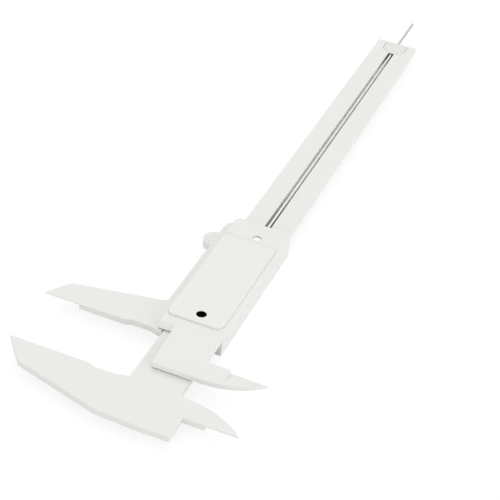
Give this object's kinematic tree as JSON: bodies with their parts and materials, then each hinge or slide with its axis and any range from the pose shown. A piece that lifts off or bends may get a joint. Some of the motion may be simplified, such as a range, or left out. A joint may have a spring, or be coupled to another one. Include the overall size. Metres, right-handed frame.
{
  "type": "vernier caliper",
  "caption": "Moulded plastic vernier caliper with outside and inside jaws, a sliding vernier frame, a raised back cover and a thin metal depth rod.",
  "frame": {"origin": "centre of the bounding box in plan, on the surface that the caliper lies on, with the jaws open by 20.8 mm", "axes": "+X along the beam from the jaws to the free end, +Y towards the tips of the outside jaws, +Z out of the caliper's back"},
  "size_m": [0.256, 0.0712, 0.0077],
  "materials": {
    "beam_plastic": "satin warm white moulding",
    "slider_plastic": "satin warm white moulding",
    "trim_plastic": "satin warm white moulding",
    "spring_steel": "plain spring steel",
    "rod_steel": "drawn wire"
  },
  "bodies": {
    "beam": {"main_beam": "beam_plastic", "rod_guide": "trim_plastic"},
    "slider": {"slider_frame": "slider_plastic", "slider_back": "slider_plastic", "back_cover": "trim_plastic", "tension_spring": "spring_steel", "depth_rod": "rod_steel"}
  },
  "joints": [
    {"name": "slider_travel", "type": "slide", "parent": "beam", "child": "slider", "axis": [1, 0, 0], "range_m": [-0.0208, 0.1292]}
  ]
}
